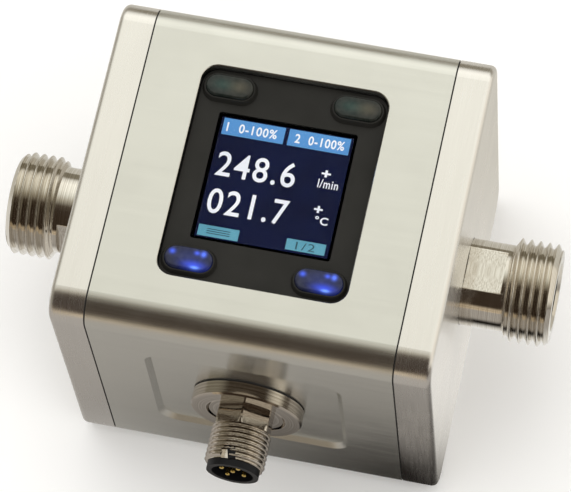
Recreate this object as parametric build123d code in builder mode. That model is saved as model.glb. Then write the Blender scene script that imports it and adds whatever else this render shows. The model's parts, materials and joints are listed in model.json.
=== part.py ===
from build123d import *
import os

# Digital flow meter: a magnetic-inductive measuring tube in a brushed steel housing.
# It lies on its back. X runs along the flow, from inlet to outlet, Z points up through
# the display, and the plug connector points towards -Y. The origin is the middle of the
# back face. All sizes are in millimetres.

# Housing sleeve and its two end caps
housing_width = 68.0
housing_height = 68.0
sleeve_length = 60.0
sleeve_wall = 2.0
corner_radius = 5.5
cap_thickness = 7.1
cap_rim_radius = 1.3
spigot_depth = 3.0
spigot_clearance = 0.15
cap_gasket_thickness = 0.3
cap_gasket_inset = 0.3
cap_gasket_band = 1.4

# Tie rods between the caps, and the sunk screws that hold the caps from the back wall
rod_diameter = 6.0
rod_inset = 7.0
rod_socket_depth = 3.0
rod_clearance = 0.1
cap_lug_length = 9.0
cap_lug_width = 9.0
cap_lug_height = 6.0
cap_lug_rod_gap = 1.5
cap_screw_diameter = 3.0
cap_screw_length = 6.0
cap_screw_head_diameter = 5.6
cap_screw_head_height = 1.3
cap_screw_socket = 2.0
cap_screw_socket_depth = 1.0
cap_screw_sink = 0.1
cap_screw_clearance = 0.1
cap_screw_hole_spare = 1.0
thread_clearance = 0.05

# Process fittings, G 1/2 outside thread
pipe_thread_diameter = 20.955
pipe_thread_length = 9.5
pipe_thread_run_in = 1.0
pipe_thread_end_chamfer = 1.2
neck_diameter = 17.5
neck_length = 8.6
neck_clearance = 0.12
neck_flat_depth = 1.25
outlet_flats_angle = 0.0
inlet_flats_angle = 74.0
neck_flats_sink = 2.0
neck_shoulder = 0.9
neck_wall = 1.0
fitting_flange_width = 4.25
fitting_flange_thickness = 5.0
fitting_flange_clearance = 0.15
fitting_bore_chamfer = 0.6
fitting_cone_length = 6.0

# Measuring tube and its seals
flow_bore = 10.0
tube_diameter = 20.0
tube_flange_lip = 2.0
tube_flange_thickness = 4.0
tube_fillet = 1.5
seal_width = 1.7
seal_height = 1.4
seal_room = 0.1
seal_wall = 1.2

# Electrodes and temperature probe, set into flat pads on the tube
pad_depth = 0.6
pad_margin = 0.8
electrode_diameter = 2.4
electrode_collar_diameter = 5.4
electrode_collar_height = 1.0
electrode_stud_diameter = 2.0
electrode_stud_length = 2.2
probe_flange_gap = 5.8
probe_diameter = 3.0
probe_collar_diameter = 6.2
probe_collar_height = 2.0
probe_stud_diameter = 4.0
probe_stud_length = 3.5
plug_seal_width = 0.8
plug_seal_height = 0.9
plug_clearance = 0.08
plug_relief = 0.05

# Magnet: poles, bobbins, windings and the yoke round them
pole_core_diameter = 8.0
pole_shoe_length = 16.0
pole_shoe_width = 14.0
pole_shoe_thickness = 1.0
pole_clearance = 0.1
bobbin_wall = 0.8
bobbin_clearance = 0.1
coil_clearance = 0.05
coil_inset = 0.8
yoke_length = 24.0
yoke_sheet = 1.5
yoke_side_room = 1.0
yoke_bend_radius = 3.5

# Display opening, its gasket and the dark front plate with four raised key collars
window_end_border = 11.3
window_side_border = 11.6
window_radius = 3.4
window_edge_chamfer = 0.15
window_recess = 1.8
window_gap = 0.25
window_gasket_thickness = 0.5
front_flange_margin = 2.2
front_flange_thickness = 1.2
key_length = 9.4
key_width = 4.6
key_recess = 0.1
key_edge_round = 0.45
key_clearance = 0.08
key_foot_lip = 0.5
key_foot_height = 0.9
key_margin_length = 0.18
key_margin_width = 0.67
collar_skirt = 0.8
collar_rim = 0.35
collar_height = 1.1

# Screen: clear pane on a ledge of the front plate, display module below it
screen_side_border = 4.9
screen_key_gap = 1.78
screen_corner_radius = 0.6
pane_thickness = 0.4
pane_recess = 0.05
pane_clearance = 0.08
ledge_width = 0.7
module_gap = 0.05
module_body_margin = 0.7
module_front_gap = 0.1
module_thickness = 2.4

# Circuit boards, their spacers, screws and larger components
display_board_thickness = 1.2
display_board_margin = 2.0
display_spacer_diameter = 3.6
display_spacer_length = 2.0
main_board_thickness = 1.6
main_board_end_gap = 2.3
board_spacer_diameter = 5.0
board_spacer_length = 2.0
board_rod_gap = 1.0
board_screw_diameter = 2.0
board_screw_head_diameter = 3.6
board_screw_head_height = 1.0
board_screw_depth = 1.4
board_hole_edge = 2.4
lamp_length = 1.8
lamp_width = 1.2
lamp_height = 1.0
lamp_pitch = 4.6
chip_size = 9.0
chip_height = 1.1
link_length = 12.0
link_width = 2.6
link_edge_gap = 1.0
choke_size = 6.0
choke_height = 4.0
choke_radius = 0.8
capacitor_diameter = 5.0
capacitor_height = 5.4
component_gap = 2.0
component_end_gap = 1.0

# Pressed pocket in the front wall of the sleeve, round the connector
pocket_side_room = 8.35
pocket_top_room = 6.95
pocket_depth = 0.9
pocket_slope = 1.1
pocket_radius = 4.2
pocket_lift = 1.0

# Plug connector, M12 x 1
connector_gasket_thickness = 0.3
connector_gasket_inset = 0.25
flange_rim_width = 3.25
flange_thickness = 2.8
flange_chamfer = 0.35
flange_seat_gap = 0.4
flange_seat_depth = 1.0
shell_disc_width = 1.1
shell_disc_thickness = 0.8
shell_hex_wall = 0.45
shell_hex_length = 3.6
plug_thread_diameter = 12.0
plug_thread_length = 7.6
plug_thread_chamfer = 0.5
shell_wall = 0.7
stem_wall = 1.7
stem_clearance = 0.15
insert_clearance = 0.1
insert_collar_lip = 0.45
insert_collar_length = 1.4
insert_wall = 0.5
insert_cavity_depth = 7.0
coding_slot_width = 1.7
coding_slot_length = 2.1
coding_slot_angle = 15.0
coding_key_depth = 1.0
locknut_wall = 2.5
locknut_thickness = 3.0
stem_beyond_nut = 1.5
insert_beyond_stem = 1.2
pin_diameter = 1.0
pin_wall_gap = 1.7
pin_recess = 0.3
pin_clearance = 0.05
pin_tip_round = 0.3
lead_thickness = 0.3
lead_width = 10.0
lead_edge_gap = 0.8

# Places that follow from the sizes above
axis_z = housing_height / 2
sleeve_end_x = sleeve_length / 2
cap_joint_x = sleeve_end_x + cap_gasket_thickness
cap_outer_x = cap_joint_x + cap_thickness
spigot_x = cap_joint_x - spigot_depth
neck_flats = neck_diameter - 2 * neck_flat_depth
neck_end_x = cap_outer_x + neck_length
fitting_end_x = neck_end_x + pipe_thread_length
fitting_shoulder_x = spigot_x + fitting_flange_thickness
fitting_flange_diameter = neck_diameter + 2 * fitting_flange_width
fitting_bore = neck_flats - 2 * neck_wall
tube_flange_diameter = fitting_flange_diameter + 2 * tube_flange_lip
tube_flange_x = spigot_x - tube_flange_thickness
probe_x = tube_flange_x - probe_flange_gap
rod_y = housing_width / 2 - rod_inset
rod_z = housing_height / 2 - rod_inset
cap_screw_x = spigot_x - cap_lug_length / 2
cap_screw_y = rod_y - (rod_diameter + cap_lug_width) / 2 - cap_lug_rod_gap
spigot_back_z = sleeve_wall + spigot_clearance
cap_screw_top_z = cap_screw_sink + cap_screw_length
pad_height = tube_diameter / 2 - pad_depth

wall_inner_z = housing_height - sleeve_wall
front_flange_top = wall_inner_z - window_gasket_thickness
front_flange_bottom = front_flange_top - front_flange_thickness
front_face_z = housing_height - window_recess
key_top_z = housing_height - key_recess
pane_top = front_face_z - pane_recess
pane_bottom = pane_top - pane_thickness
module_top = pane_bottom - module_gap
module_body_top = front_flange_bottom - module_front_gap
display_board_top = module_body_top - module_thickness
display_board_bottom = display_board_top - display_board_thickness
main_board_top = display_board_bottom - display_spacer_length
main_board_bottom = main_board_top - main_board_thickness
yoke_top = main_board_bottom - board_spacer_length

window_length = sleeve_length - 2 * window_end_border
window_width = housing_width - 2 * window_side_border
panel_length = window_length - 2 * window_gap
panel_width = window_width - 2 * window_gap
collar_length = key_length + 2 * collar_skirt
collar_width = key_width + 2 * collar_skirt
key_x = (panel_length - collar_length) / 2 - key_margin_length
key_y = (panel_width - collar_width) / 2 - key_margin_width
screen_length = window_length - 2 * screen_side_border
screen_width = 2 * (key_y - collar_width / 2 - screen_key_gap)
view_length = screen_length - 2 * ledge_width
view_width = screen_width - 2 * ledge_width

shoe_top = tube_diameter / 2 + pole_shoe_thickness
yoke_inner_height = yoke_top - yoke_sheet - axis_z
yoke_inner_width = pad_height + electrode_collar_height + electrode_stud_length + yoke_side_room
coil_radius = yoke_inner_width - coil_inset - yoke_bend_radius

main_board_length = 2 * (spigot_x - main_board_end_gap)
main_board_width = 2 * (rod_y - rod_diameter / 2 - board_rod_gap)
display_board_length = window_length + 2 * display_board_margin
display_board_width = main_board_width
display_hole_x = display_board_length / 2 - board_hole_edge
display_hole_y = display_board_width / 2 - board_hole_edge
board_hole_x = (yoke_length - board_spacer_diameter) / 2 - component_gap
board_hole_y = yoke_inner_width - yoke_bend_radius - board_spacer_diameter / 2

shell_bore = plug_thread_diameter - 2 * (plug_thread_chamfer + shell_wall)
shell_hex = shell_bore + 2 * shell_hex_wall
stem_diameter = shell_bore + 2 * stem_wall
shell_disc_diameter = stem_diameter + 2 * shell_disc_width
flange_seat_diameter = shell_disc_diameter + 2 * flange_seat_gap
flange_diameter = flange_seat_diameter + 2 * flange_rim_width
locknut_flats = stem_diameter + 2 * locknut_wall
insert_radius = shell_bore / 2 - insert_clearance
insert_collar_diameter = shell_bore + 2 * insert_collar_lip
insert_cavity_diameter = 2 * (insert_radius - insert_wall)
pin_circle_diameter = insert_cavity_diameter - 2 * pin_wall_gap
pocket_length = flange_diameter + 2 * pocket_side_room
pocket_height = flange_diameter + 2 * pocket_top_room

pocket_floor_out = housing_width / 2 - pocket_depth
pocket_back_out = pocket_floor_out - sleeve_wall
pocket_z = axis_z + pocket_lift
flange_base_out = pocket_floor_out + connector_gasket_thickness
flange_face_out = flange_base_out + flange_thickness
shell_seat_out = flange_face_out - flange_seat_depth
shell_disc_out = shell_seat_out + shell_disc_thickness
plug_thread_out = shell_disc_out + shell_hex_length
shell_end_out = plug_thread_out + plug_thread_length
insert_end_out = shell_end_out + insert_collar_length
cavity_floor_out = insert_end_out - insert_cavity_depth
locknut_back_out = pocket_back_out - locknut_thickness
stem_back_out = locknut_back_out - stem_beyond_nut
insert_back_out = stem_back_out - insert_beyond_stem
lead_out = main_board_width / 2 - lead_edge_gap

flow_axis = Axis((0, 0, axis_z), (1, 0, 0))
flow_profile = Plane(origin=(0, 0, axis_z), x_dir=(1, 0, 0), z_dir=(0, -1, 0))
plug_axis = Axis((0, 0, axis_z), (0, -1, 0))
plug_profile = Plane(origin=(0, 0, axis_z), x_dir=(0, -1, 0), z_dir=(-1, 0, 0))
standing = (Align.CENTER, Align.CENTER, Align.MIN)


def across_flow(x):
    # the plane across the flow at x, facing +X, centred on the flow axis
    return Plane(origin=(x, 0, axis_z), x_dir=(0, 1, 0), z_dir=(1, 0, 0))


def across_plug(out):
    # the plane across the connector, facing -Y, centred on the connector axis
    return Plane(origin=(0, -out, axis_z), x_dir=(1, 0, 0), z_dir=(0, -1, 0))


def towards(direction):
    # a plane through the flow axis whose normal points outwards along direction
    return Plane(origin=(0, 0, axis_z), x_dir=(1, 0, 0), z_dir=direction)


def housing_outline(inset=0.0, mode=Mode.ADD):
    # the rounded square section of the housing, drawn in by inset
    width = housing_width - 2 * inset
    height = housing_height - 2 * inset
    RectangleRounded(width, height, corner_radius - inset, mode=mode)


def slab(plane, length, width, radius, thickness):
    # a flat plate with rounded corners
    with BuildPart() as piece:
        with BuildSketch(plane):
            RectangleRounded(length, width, radius)
        extrude(amount=thickness)
    return piece


def reflected(source, plane):
    # the twin of a piece on the other side of a plane
    with BuildPart() as piece:
        add(source.part.mirror(plane))
    return piece


def rods(base, places, diameter, length, hole_diameter=0.0):
    # equal round bars standing on a plane, or sleeves where they have a hole
    with BuildPart() as piece:
        with BuildSketch(base):
            with Locations(*places):
                Circle(diameter / 2)
                if hole_diameter > 0:
                    Circle(hole_diameter / 2, mode=Mode.SUBTRACT)
        extrude(amount=length)
    return piece


def board_screws(top, board_thickness, places):
    # pan-head screws through a board into the spacers below it
    with BuildPart() as piece:
        for diameter, length in (
            (board_screw_head_diameter, board_screw_head_height),
            (board_screw_diameter, -(board_thickness + board_screw_depth)),
        ):
            with BuildSketch(Plane.XY.offset(top)):
                with Locations(*places):
                    Circle(diameter / 2)
            extrude(amount=length)
    return piece


def flat_seal(plane, inner_radius, width, height, place=0):
    # a flat ring standing on a plane, its centre at place along the plane's x
    with BuildPart() as piece:
        with BuildSketch(plane):
            with Locations((place, 0)):
                Circle(inner_radius + width)
                Circle(inner_radius, mode=Mode.SUBTRACT)
        extrude(amount=height)
    return piece


pieces = {}

# Housing sleeve: a square tube with the display opening in its top wall. Its front wall
# is pressed inwards round the connector, so the pocket bulges on the inside too. Its back
# wall takes the countersunk screws of the caps.
cap_screw_places = [(cap_screw_x, y) for y in (-cap_screw_y, cap_screw_y)]
back_wall_places = [(side * x, y, 0) for x, y in cap_screw_places for side in (-1, 1)]
screw_head_radius = cap_screw_head_diameter / 2
with BuildPart() as housing_sleeve:
    with BuildSketch(across_flow(-sleeve_end_x)):
        housing_outline()
        housing_outline(sleeve_wall, Mode.SUBTRACT)
    extrude(amount=sleeve_length)
    for face_out, mode in ((housing_width / 2 - sleeve_wall, Mode.ADD), (housing_width / 2, Mode.SUBTRACT)):
        with BuildSketch(Plane.XZ.offset(face_out)):
            with Locations((0, pocket_z)):
                RectangleRounded(pocket_length, pocket_height, pocket_radius)
        with BuildSketch(Plane.XZ.offset(face_out - pocket_depth)):
            with Locations((0, pocket_z)):
                RectangleRounded(
                    pocket_length - 2 * pocket_slope,
                    pocket_height - 2 * pocket_slope,
                    pocket_radius - pocket_slope,
                )
        loft(mode=mode)
    with BuildSketch(across_plug(housing_width / 2)):
        Circle(stem_diameter / 2 + stem_clearance)
    extrude(amount=-2 * (sleeve_wall + pocket_depth), mode=Mode.SUBTRACT)
    with BuildSketch(Plane.XY.offset(housing_height)):
        RectangleRounded(window_length, window_width, window_radius)
    extrude(amount=-2 * sleeve_wall, mode=Mode.SUBTRACT)
    top_face = housing_sleeve.faces().sort_by(Axis.Z)[-1]
    chamfer(top_face.inner_wires()[0].edges(), window_edge_chamfer)
    with Locations(*back_wall_places):
        hole_radius = cap_screw_diameter / 2 + cap_screw_clearance
        Cylinder(hole_radius, sleeve_wall, align=standing, mode=Mode.SUBTRACT)
        Cylinder(screw_head_radius, cap_screw_sink, align=standing, mode=Mode.SUBTRACT)
        with Locations((0, 0, cap_screw_sink)):
            Cone(
                screw_head_radius,
                cap_screw_diameter / 2,
                cap_screw_head_height,
                align=standing,
                mode=Mode.SUBTRACT,
            )
pieces["housing_sleeve"] = housing_sleeve

# End caps: a plate with a rounded rim, a spigot inside the sleeve with sockets for the tie
# rods, a stepped hole for the fitting and two tapped lugs behind the back wall.
rod_places = [(y, z) for y in (-rod_y, rod_y) for z in (-rod_z, rod_z)]
with BuildPart() as outlet_end_cap:
    with BuildSketch(across_flow(cap_joint_x)):
        housing_outline()
    extrude(amount=cap_thickness)
    fillet(outlet_end_cap.faces().sort_by(Axis.X)[-1].edges(), cap_rim_radius)
    with BuildSketch(across_flow(cap_joint_x)):
        housing_outline(sleeve_wall + spigot_clearance)
    extrude(amount=-spigot_depth)
    with BuildSketch(across_flow(spigot_x)):
        Circle(fitting_flange_diameter / 2 + fitting_flange_clearance)
    extrude(amount=fitting_flange_thickness, mode=Mode.SUBTRACT)
    with BuildSketch(across_flow(spigot_x)):
        Circle(neck_diameter / 2 + neck_clearance)
    extrude(amount=spigot_depth + cap_thickness, mode=Mode.SUBTRACT)
    with BuildSketch(across_flow(spigot_x)):
        with Locations(*rod_places):
            Circle(rod_diameter / 2 + rod_clearance)
    extrude(amount=rod_socket_depth, mode=Mode.SUBTRACT)
    with BuildSketch(Plane.XY.offset(spigot_back_z)):
        with Locations(*cap_screw_places):
            Rectangle(cap_lug_length, cap_lug_width)
    extrude(amount=cap_lug_height)
    with BuildSketch(Plane.XY.offset(spigot_back_z)):
        with Locations(*cap_screw_places):
            Circle(cap_screw_diameter / 2 + thread_clearance)
    extrude(amount=cap_screw_top_z + cap_screw_hole_spare - spigot_back_z, mode=Mode.SUBTRACT)
pieces["outlet_end_cap"] = outlet_end_cap
pieces["inlet_end_cap"] = reflected(outlet_end_cap, Plane.YZ)

# Cap gaskets: thin frames between the sleeve's end faces and the caps.
with BuildPart() as outlet_cap_gasket:
    with BuildSketch(across_flow(sleeve_end_x)):
        housing_outline(cap_gasket_inset)
        housing_outline(cap_gasket_inset + cap_gasket_band, Mode.SUBTRACT)
    extrude(amount=cap_gasket_thickness)
pieces["outlet_cap_gasket"] = outlet_cap_gasket
pieces["inlet_cap_gasket"] = reflected(outlet_cap_gasket, Plane.YZ)

# Tie rods: plain bars that hold the caps square and apart, seated in their sockets.
rod_end_x = spigot_x + rod_socket_depth
pieces["tie_rods"] = rods(across_flow(-rod_end_x), rod_places, rod_diameter, 2 * rod_end_x)

# Cap screws: countersunk, with a hexagon socket, through the back wall into the lugs.
with BuildPart() as outlet_cap_screws:
    with Locations(*[(x, y, cap_screw_sink) for x, y in cap_screw_places]):
        Cone(screw_head_radius, cap_screw_diameter / 2, cap_screw_head_height, align=standing)
        Cylinder(cap_screw_diameter / 2, cap_screw_length, align=standing)
    with BuildSketch(Plane.XY.offset(cap_screw_sink)):
        with Locations(*cap_screw_places):
            RegularPolygon(cap_screw_socket / 2, 6, major_radius=False)
    extrude(amount=cap_screw_socket_depth, mode=Mode.SUBTRACT)
pieces["outlet_cap_screws"] = outlet_cap_screws
pieces["inlet_cap_screws"] = reflected(outlet_cap_screws, Plane.YZ)

# Process fittings: turned from bar, with a flange behind the cap, a neck with two wrench
# flats, the thread land and a bore that narrows to the measuring tube. Screwed home, the
# two pairs of flats stand at different angles.
seal_groove = seal_width + 2 * seal_room
flange_groove_radius = neck_diameter / 2 + seal_wall


def process_fitting(flats_angle):
    # the fitting of the outlet end, its flats turned about the flow axis
    with BuildPart() as piece:
        with BuildSketch(flow_profile):
            with BuildLine():
                Polyline(
                    (spigot_x, flow_bore / 2),
                    (spigot_x, fitting_flange_diameter / 2),
                    (fitting_shoulder_x, fitting_flange_diameter / 2),
                    (fitting_shoulder_x, neck_diameter / 2),
                    (neck_end_x, neck_diameter / 2),
                    (neck_end_x + pipe_thread_run_in, pipe_thread_diameter / 2),
                    (fitting_end_x - pipe_thread_end_chamfer, pipe_thread_diameter / 2),
                    (fitting_end_x, pipe_thread_diameter / 2 - pipe_thread_end_chamfer),
                    (fitting_end_x, fitting_bore / 2 + fitting_bore_chamfer),
                    (fitting_end_x - fitting_bore_chamfer, fitting_bore / 2),
                    (spigot_x + fitting_cone_length, fitting_bore / 2),
                    close=True,
                )
            make_face()
        revolve(axis=flow_axis)
        with BuildSketch(across_flow(cap_outer_x - neck_flats_sink)):
            Circle(neck_diameter / 2 + neck_clearance)
            Rectangle(2 * neck_diameter, neck_flats, rotation=flats_angle, mode=Mode.SUBTRACT)
        extrude(amount=neck_flats_sink + neck_length - neck_shoulder, mode=Mode.SUBTRACT)
        with BuildSketch(across_flow(fitting_shoulder_x)):
            Circle(flange_groove_radius + seal_groove)
            Circle(flange_groove_radius, mode=Mode.SUBTRACT)
        extrude(amount=-seal_height, mode=Mode.SUBTRACT)
    return piece


pieces["outlet_fitting"] = process_fitting(outlet_flats_angle)
pieces["inlet_fitting"] = reflected(process_fitting(inlet_flats_angle), Plane.YZ)

outlet_flange_seal = flat_seal(
    across_flow(fitting_shoulder_x - seal_height),
    flange_groove_radius + seal_room,
    seal_width,
    seal_height,
)
pieces["outlet_flange_seal"] = outlet_flange_seal
pieces["inlet_flange_seal"] = reflected(outlet_flange_seal, Plane.YZ)

# Measuring tube: a plastic spool with a straight bore, seal grooves in its end faces, and
# flat pads with stepped holes for the two electrodes and the temperature probe.
tube_groove_radius = flow_bore / 2 + seal_wall
front_side = (0, -1, 0)
rear_side = (0, 1, 0)
top_side = (0, 0, 1)
with BuildPart() as measuring_tube:
    with BuildSketch(across_flow(-spigot_x)):
        Circle(tube_flange_diameter / 2)
    extrude(amount=2 * spigot_x)
    with BuildSketch(across_flow(-tube_flange_x)):
        Circle(tube_flange_diameter / 2)
        Circle(tube_diameter / 2, mode=Mode.SUBTRACT)
    extrude(amount=2 * tube_flange_x, mode=Mode.SUBTRACT)
    inner_corners = measuring_tube.edges().filter_by(GeomType.CIRCLE)
    inner_corners = inner_corners.filter_by(lambda edge: abs(edge.radius - tube_diameter / 2) < 1e-6)
    fillet(inner_corners, tube_fillet)
    for direction, place, diameter, collar in (
        (front_side, 0, electrode_diameter, electrode_collar_diameter),
        (rear_side, 0, electrode_diameter, electrode_collar_diameter),
        (top_side, probe_x, probe_diameter, probe_collar_diameter),
    ):
        with BuildSketch(towards(direction).offset(pad_height)):
            with Locations((place, 0)):
                Rectangle(collar + 2 * pad_margin, tube_diameter)
        extrude(amount=pad_depth, mode=Mode.SUBTRACT)
        with BuildSketch(towards(direction)):
            with Locations((place, 0)):
                Circle(diameter / 2 + plug_clearance)
        extrude(amount=tube_diameter / 2, mode=Mode.SUBTRACT)
        with BuildSketch(towards(direction).offset(pad_height)):
            with Locations((place, 0)):
                Circle(diameter / 2 + plug_seal_width + 2 * plug_clearance)
        extrude(amount=-plug_seal_height, mode=Mode.SUBTRACT)
    with BuildSketch(across_flow(-spigot_x)):
        Circle(flow_bore / 2)
    extrude(amount=2 * spigot_x, mode=Mode.SUBTRACT)
    for end_x, depth in ((spigot_x, -seal_height), (-spigot_x, seal_height)):
        with BuildSketch(across_flow(end_x)):
            Circle(tube_groove_radius + seal_groove)
            Circle(tube_groove_radius, mode=Mode.SUBTRACT)
        extrude(amount=depth, mode=Mode.SUBTRACT)
pieces["measuring_tube"] = measuring_tube

outlet_tube_seal = flat_seal(
    across_flow(spigot_x - seal_height), tube_groove_radius + seal_room, seal_width, seal_height
)
pieces["outlet_tube_seal"] = outlet_tube_seal
pieces["inlet_tube_seal"] = reflected(outlet_tube_seal, Plane.YZ)


def flow_plug(direction, place, diameter, collar, collar_height, stud, stud_length):
    # a round plug from the bore out to its stud, with a collar that seats on the pad
    base = towards(direction)
    tip = flow_bore / 2 + plug_relief
    with BuildPart() as piece:
        for start, radius, length in (
            (tip, diameter / 2, pad_height - tip),
            (pad_height, collar / 2, collar_height),
            (pad_height + collar_height, stud / 2, stud_length),
        ):
            with BuildSketch(base.offset(start)):
                with Locations((place, 0)):
                    Circle(radius)
            extrude(amount=length)
    return piece


def plug_seal(direction, place, diameter):
    # the small seal in the stepped hole below a plug's collar
    base = towards(direction).offset(pad_height - plug_seal_height)
    return flat_seal(base, diameter / 2 + plug_clearance, plug_seal_width, plug_seal_height, place)


electrode_sizes = (
    electrode_diameter,
    electrode_collar_diameter,
    electrode_collar_height,
    electrode_stud_diameter,
    electrode_stud_length,
)
pieces["front_electrode"] = flow_plug(front_side, 0, *electrode_sizes)
pieces["rear_electrode"] = flow_plug(rear_side, 0, *electrode_sizes)
pieces["temperature_probe"] = flow_plug(
    top_side,
    probe_x,
    probe_diameter,
    probe_collar_diameter,
    probe_collar_height,
    probe_stud_diameter,
    probe_stud_length,
)
pieces["front_electrode_seal"] = plug_seal(front_side, 0, electrode_diameter)
pieces["rear_electrode_seal"] = plug_seal(rear_side, 0, electrode_diameter)
pieces["probe_seal"] = plug_seal(top_side, probe_x, probe_diameter)

# Magnet: a pole with a shoe that hugs the tube, its bobbin and winding, above and below,
# and a square yoke of bent sheet that closes the field round them.
core_radius = pole_core_diameter / 2
with BuildPart() as upper_pole:
    with BuildSketch(Plane.XY.offset(axis_z)):
        Rectangle(pole_shoe_length, pole_shoe_width)
    extrude(amount=shoe_top)
    with BuildSketch(across_flow(-pole_shoe_length / 2)):
        Circle(tube_diameter / 2 + pole_clearance)
    extrude(amount=pole_shoe_length, mode=Mode.SUBTRACT)
    with BuildSketch(Plane.XY.offset(axis_z + shoe_top)):
        Circle(core_radius)
    extrude(amount=yoke_inner_height - shoe_top)
pieces["upper_pole"] = upper_pole

bobbin_height = yoke_inner_height - shoe_top - bobbin_clearance
with BuildPart() as upper_bobbin:
    with BuildSketch(Plane.XY.offset(axis_z + shoe_top)):
        Circle(coil_radius)
    extrude(amount=bobbin_height)
    with BuildSketch(Plane.XY.offset(axis_z + shoe_top + bobbin_wall)):
        Circle(coil_radius)
        Circle(core_radius + bobbin_clearance + bobbin_wall, mode=Mode.SUBTRACT)
    extrude(amount=bobbin_height - 2 * bobbin_wall, mode=Mode.SUBTRACT)
    with BuildSketch(Plane.XY.offset(axis_z + shoe_top)):
        Circle(core_radius + bobbin_clearance)
    extrude(amount=bobbin_height, mode=Mode.SUBTRACT)
pieces["upper_bobbin"] = upper_bobbin

with BuildPart() as upper_coil:
    with BuildSketch(Plane.XY.offset(axis_z + shoe_top + bobbin_wall + coil_clearance)):
        Circle(coil_radius - coil_inset)
        Circle(core_radius + bobbin_clearance + bobbin_wall + coil_clearance, mode=Mode.SUBTRACT)
    extrude(amount=bobbin_height - 2 * (bobbin_wall + coil_clearance))
pieces["upper_coil"] = upper_coil

below_axis = Plane.XY.offset(axis_z)
pieces["lower_pole"] = reflected(upper_pole, below_axis)
pieces["lower_bobbin"] = reflected(upper_bobbin, below_axis)
pieces["lower_coil"] = reflected(upper_coil, below_axis)

spacer_places = [(x, y) for x in (-board_hole_x, board_hole_x) for y in (-board_hole_y, board_hole_y)]
with BuildPart() as magnet_yoke:
    with BuildSketch(across_flow(-yoke_length / 2)):
        RectangleRounded(
            2 * (yoke_inner_width + yoke_sheet),
            2 * (yoke_inner_height + yoke_sheet),
            yoke_bend_radius + yoke_sheet,
        )
        RectangleRounded(
            2 * yoke_inner_width, 2 * yoke_inner_height, yoke_bend_radius, mode=Mode.SUBTRACT
        )
    extrude(amount=yoke_length)
pieces["magnet_yoke"] = magnet_yoke

# Main board on four spacers that stand on the yoke, with its screws and components.
board_hole = board_screw_diameter + 2 * thread_clearance
pieces["board_spacers"] = rods(
    Plane.XY.offset(yoke_top), spacer_places, board_spacer_diameter, board_spacer_length, board_hole
)

display_places = [
    (x, y) for x in (-display_hole_x, display_hole_x) for y in (-display_hole_y, display_hole_y)
]
with BuildPart() as main_board:
    with BuildSketch(Plane.XY.offset(main_board_bottom)):
        Rectangle(main_board_length, main_board_width)
        with Locations(*spacer_places):
            Circle(board_hole / 2, mode=Mode.SUBTRACT)
    extrude(amount=main_board_thickness)
pieces["main_board"] = main_board
pieces["main_board_screws"] = board_screws(main_board_top, main_board_thickness, spacer_places)

with BuildPart() as main_processor:
    with BuildSketch(Plane.XY.offset(main_board_top)):
        Rectangle(chip_size, chip_size)
    extrude(amount=chip_height)
pieces["main_processor"] = main_processor

link_y = main_board_width / 2 - link_edge_gap - link_width / 2
with BuildPart() as board_link:
    with BuildSketch(Plane.XY.offset(main_board_top)):
        with Locations((0, link_y)):
            Rectangle(link_length, link_width)
    extrude(amount=display_spacer_length)
pieces["board_link"] = board_link

choke_x = main_board_length / 2 - component_end_gap - choke_size / 2
choke_y = main_board_width / 2 - component_gap - choke_size / 2
with BuildPart() as power_choke:
    with BuildSketch(Plane.XY.offset(main_board_bottom)):
        with Locations((choke_x, choke_y)):
            RectangleRounded(choke_size, choke_size, choke_radius)
    extrude(amount=-choke_height)
pieces["power_choke"] = power_choke

capacitor_x = main_board_length / 2 - component_end_gap - capacitor_diameter / 2
capacitor_y = main_board_width / 2 - component_gap - capacitor_diameter / 2
pieces["filter_capacitors"] = rods(
    Plane.XY.offset(main_board_bottom),
    [(-capacitor_x, -capacitor_y), (-capacitor_x, capacitor_y)],
    capacitor_diameter,
    -capacitor_height,
)

# Display board on its own spacers, with two lamps or light sensors below each key.
pieces["display_spacers"] = rods(
    Plane.XY.offset(main_board_top),
    display_places,
    display_spacer_diameter,
    display_spacer_length,
    board_hole,
)

with BuildPart() as display_board:
    with BuildSketch(Plane.XY.offset(display_board_bottom)):
        Rectangle(display_board_length, display_board_width)
        with Locations(*display_places):
            Circle(board_hole / 2, mode=Mode.SUBTRACT)
    extrude(amount=display_board_thickness)
pieces["display_board"] = display_board
pieces["display_board_screws"] = board_screws(display_board_top, display_board_thickness, display_places)

lamp_places = [
    (side * key_x + shift * lamp_pitch / 2, end * key_y)
    for side in (-1, 1)
    for end in (-1, 1)
    for shift in (-1, 1)
]
with BuildPart() as key_lamps:
    with BuildSketch(Plane.XY.offset(display_board_top)):
        with Locations(*lamp_places):
            Rectangle(lamp_length, lamp_width)
    extrude(amount=lamp_height)
pieces["key_lamps"] = key_lamps

# Display module: a framed body on the board, its glass standing up to the clear pane.
with BuildPart() as display_module:
    with BuildSketch(Plane.XY.offset(display_board_top)):
        Rectangle(view_length + 2 * module_body_margin, view_width + 2 * module_body_margin)
    extrude(amount=module_thickness)
    with BuildSketch(Plane.XY.offset(module_body_top)):
        Rectangle(view_length - 2 * pane_clearance, view_width - 2 * pane_clearance)
    extrude(amount=module_top - module_body_top)
pieces["display_module"] = display_module

pieces["display_pane"] = slab(
    Plane.XY.offset(pane_bottom),
    screen_length - 2 * pane_clearance,
    screen_width - 2 * pane_clearance,
    screen_corner_radius - pane_clearance,
    pane_thickness,
)

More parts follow.
